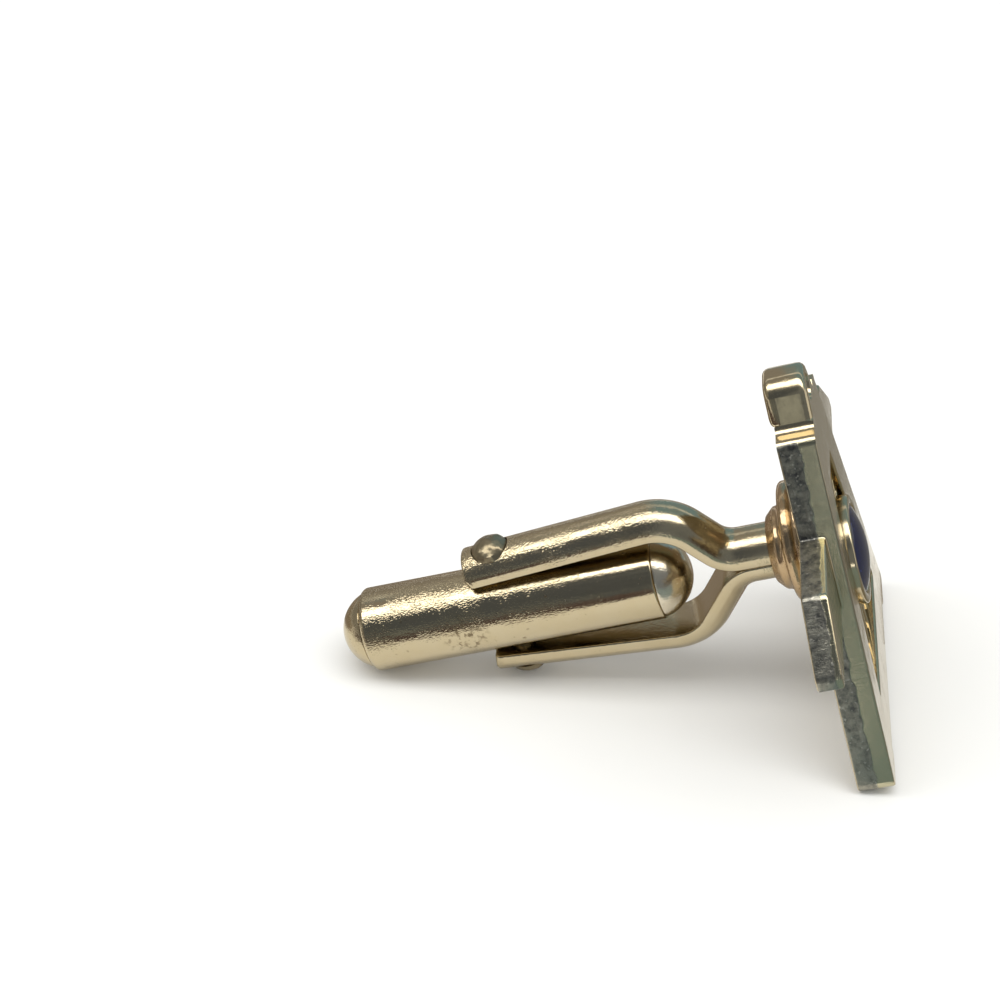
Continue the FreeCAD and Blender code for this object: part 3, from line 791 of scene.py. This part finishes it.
def makeCup(s):
    outer, floor = medalLine + s["radius"], s["front"] - s["recess"]
    inner = outer - s["wall"]
    cup = drawLine("medallionCup", [(s["back"], 0, medalLine), (s["back"], 0, outer), (s["front"], 0, outer),
                                    (s["front"], 0, inner), (floor, 0, inner), (floor, 0, medalLine)])
    pick(cup, "VERT", lambda v: v.co.x > s["front"] - touch)
    bevelPicked("VERTICES", s["rimRound"], s["rimSteps"])
    turn((0, 0, medalLine), (1, 0, 0), s["steps"])
    return cup


def makeEnamel(s):
    top = dome(s["radius"], s["crown"] - s["edge"], s["domeSteps"])
    enamel = drawLine("enamelRoundel", [
        (s["back"], 0, medalLine), (s["back"], 0, medalLine + s["radius"])] + [
        (s["crown"] + height, 0, medalLine + radius) for height, radius in top])
    turn((0, 0, medalLine), (1, 0, 0), s["steps"])
    return enamel


cup = makeCup(cupShape)
cup.data.materials.append(struckHead)
layOnBody(cup, "medallion_cup", "head")
enamel = makeEnamel(enamelShape)
enamel.data.materials.append(enamelFinish({
    "deep": "#070B22", "pale": "#111A42", "bubble": "#2A3566", "cloudMm": 0.9, "bubbleMm": 0.45,
    "bubbleSpan": (0.16, 0.08), "rippleMm": 0.8, "rippleHeight": 0.006, "roughness": (0.05, 0.14)}))
layOnBody(enamel, "enamel_roundel", "head")

# Leaf spring: closed in by the tube, it keeps its CAD shape
spring = frame["nodes"]["leaf_spring"]
spring.data.materials.clear()
spring.data.materials.append(springSteelFinish({
    "steel": "#8E9296", "straw": "#A39878", "rollMm": (2.0, 0.05, 0.05), "rollHeight": 0.003,
    "roughness": (0.22, 0.42)}))
print("spring finished")


# Table and light: a white sweep, a soft strip overhead, and dull screens and cards that only the gloss sees.
# The cards' edges and places are in millimetres, the screens in metres.
stageLook = {"paper": "#F6F6F3", "floorSize": 4.0, "paperGrainMm": 0.4, "paperReliefMm": 0.01,
             "worldSoft": 0.66, "screenRadius": 0.16, "screenHalf": 0.5, "screenSteps": 24,
             "nearSpan": (0, 66), "nearTones": ("#5C626B", "#7E848C"), "farUpperSpan": (97, 129),
             "farLowerSpan": (136, 179), "farTones": ("#A09C99", "#86A4B4"), "blotch": 0.05,
             "blotchSpan": (0.35, 0.65), "sheenSpan": (-0.045, -0.005, -0.2, 0.2), "hem": "#8B9DA1",
             "hemDark": "#6A5C5C", "hemSpan": (0.0156, 0.0084), "hemTurnSpan": (-0.024, -0.016),
             "apronHeight": 0.3, "cardY": -150, "endX": -140}
aprons = {"tubeApron": ("#5F5353", [(-60, -160), (1, -160), (1, -62), (-3.2, -62), (-3.2, -25.6), (-20, -3),
                                    (-60, -3)]),
          "plateApron": ("#8B9DA1", [(1, -160), (500, -160), (500, -9.5), (10, -9.5), (9, -42), (1, -42)]),
          "sideApron": ("#8F8B80", [(15, -12), (120, -12), (120, 160), (15, 160)]),
          "backApron": ("#94897C", [(-70, -1), (-22, -1), (-16, 3), (14, 3), (14, 60), (-70, 60)])}
nearCards = {"paleCard": ("#C4CBCC", [(-23, 27), (-9, 27), (-9, 50), (-23, 50)]),
             "leftCard": ("#7E8486", [(-120, 4), (-43, 4), (-43, 40), (-120, 40)])}
endCards = {"endScreen": ("#8E8C88", [(-120, 0), (120, 0), (120, 110), (-120, 110)])}


def makeFloor(look):
    bpy.ops.object.select_all(action="DESELECT")
    bpy.ops.mesh.primitive_plane_add(size=look["floorSize"])
    floor = bpy.context.object
    floor.name = floor.data.name = "whiteTable"
    paper, tree = emptyMaterial("mattWhitePaper")  # matt, very faint fibre, keeps the link's shadow
    place = addNode(tree, "ShaderNodeTexCoord")
    fibre = noise(tree, place.outputs["Object"], look["paperGrainMm"] * mm, 3)
    bump = addNode(tree, "ShaderNodeBump", {"Strength": 0.1, "Distance": look["paperReliefMm"] * mm,
                                            "Height": fibre})
    endFinish(tree, {"Base Color": fromHex(look["paper"]), "Roughness": 0.9, "Specular IOR Level": 0.1,
                     "Normal": bump.outputs[0]})
    floor.data.materials.append(paper)


def makeWorld(look):
    world = bpy.data.worlds.new("studio")
    bpy.context.scene.world = world
    world.use_nodes = True
    tree = world.node_tree
    tree.nodes.clear()
    path = addNode(tree, "ShaderNodeLightPath").outputs
    seen = reckon(tree, "ADD", path["Is Camera Ray"], path["Is Glossy Ray"])
    seen = reckon(tree, "ADD", seen, path["Is Transmission Ray"], use_clamp=True)
    level = ramp(tree, seen, 0, 1, look["worldSoft"], 1)
    sky = addNode(tree, "ShaderNodeBackground", {"Color": (1, 1, 1, 1), "Strength": level})
    addNode(tree, "ShaderNodeOutputWorld", {"Surface": sky.outputs[0]})


def makeScreen(name, look, span, tones):  # part of a tunnel along X, with a hem of another tone at the table
    r, half = look["screenRadius"], look["screenHalf"]
    start, sweep = math.radians(span[0]), math.radians(span[1] - span[0])
    screen = drawLine(name, [(x, -r * math.cos(start), r * math.sin(start)) for x in (-half, half)])
    bpy.ops.mesh.select_all(action="SELECT")
    bpy.ops.mesh.spin(steps=look["screenSteps"], angle=sweep, center=(0, 0, 0), axis=(1, 0, 0))
    leaveEdit()
    cloth, tree = emptyMaterial(name + "Cloth")
    place = addNode(tree, "ShaderNodeTexCoord").outputs["Object"]
    axes = addNode(tree, "ShaderNodeSeparateXYZ", {"Vector": place}).outputs
    sheen = ramp(tree, axes[0], *look["sheenSpan"])
    blotch = reckon(tree, "ADD", noise(tree, place, look["blotch"], 2), sheen)
    tone = blend(tree, ramp(tree, blotch, *look["blotchSpan"]), *tones)
    hemTone = blend(tree, ramp(tree, axes[0], *look["hemTurnSpan"]), look["hemDark"], look["hem"])
    shade = blend(tree, ramp(tree, axes[2], *look["hemSpan"]), tone, hemTone)
    endFinish(tree, {"Color": shade, "Strength": 1}, "ShaderNodeEmission")
    screen.data.materials.append(cloth)
    hideFromAllButGloss(screen)


def makeCard(name, tone, corners):  # flat and even
    card = drawLine(name, [Vector(corner) * mm for corner in corners], closed=True)
    bpy.ops.mesh.select_all(action="SELECT")
    bpy.ops.mesh.edge_face_add()
    leaveEdit()
    cloth, tree = emptyMaterial(name + "Cloth")
    endFinish(tree, {"Color": fromHex(tone), "Strength": 1}, "ShaderNodeEmission")
    card.data.materials.append(cloth)
    hideFromAllButGloss(card)


def hideFromAllButGloss(screen):
    screen.visible_camera = False
    screen.visible_diffuse = False
    screen.visible_shadow = False
    screen.visible_transmission = False


def addStrip(name, place, size, radiance, target=None):
    bpy.ops.object.select_all(action="DESELECT")
    bpy.ops.object.light_add(type="AREA", location=place)
    lamp = bpy.context.object
    lamp.name = lamp.data.name = name
    lamp.data.shape = "RECTANGLE"
    lamp.data.size, lamp.data.size_y = size
    lamp.data.energy = radiance * math.pi * size[0] * size[1]
    lamp.visible_camera = False
    if target:
        lamp.rotation_euler = (Vector(target) - Vector(place)).to_track_quat("-Z", "Y").to_euler()


makeFloor(stageLook)
makeWorld(stageLook)
makeScreen("nearScreen", stageLook, stageLook["nearSpan"], stageLook["nearTones"])
for name, (tone, edge) in aprons.items():
    makeCard(name, tone, [(x, y, stageLook["apronHeight"]) for x, y in edge])
for name, (tone, edge) in nearCards.items():
    makeCard(name, tone, [(x, stageLook["cardY"], z) for x, z in edge])
for name, (tone, edge) in endCards.items():
    makeCard(name, tone, [(stageLook["endX"], y, z) for y, z in edge])
makeScreen("farScreenUpper", stageLook, stageLook["farUpperSpan"], stageLook["farTones"])
makeScreen("farScreenLower", stageLook, stageLook["farLowerSpan"], stageLook["farTones"])
addStrip("overheadStrip", place=(-0.1, -0.06, 0.4), size=(1.2, 0.19), radiance=2.8)
addStrip("smallWindow", place=(0.008, -0.15, 0.02), size=(0.016, 0.008), radiance=3, target=(0, 0, 0.008))
print("stage set")

# Camera at the photograph's angle: a long lens from the near side, a little to the right
shot = {"azimuthDeg": 4.5, "elevationDeg": 36.54, "distance": 0.13873, "aim": (-0.006958, 0.014152, 0),
        "lens": 90, "sensor": 36, "clip": 0.005}
bpy.ops.object.select_all(action="DESELECT")
bpy.ops.object.camera_add()
camera = bpy.context.object
camera.name = "productCamera"
camera.data.lens = shot["lens"]
camera.data.sensor_width = shot["sensor"]
camera.data.clip_start = shot["clip"]
turnRad, riseRad = math.radians(shot["azimuthDeg"]), math.radians(shot["elevationDeg"])
level = math.cos(riseRad)
towards = Vector((-math.sin(turnRad) * level, math.cos(turnRad) * level, -math.sin(riseRad)))
camera.location = Vector(shot["aim"]) - towards * shot["distance"]
camera.rotation_euler = towards.to_track_quat("-Z", "Y").to_euler()
bpy.context.scene.camera = camera
bpy.context.scene.view_settings.view_transform = "Standard"
print("camera set")
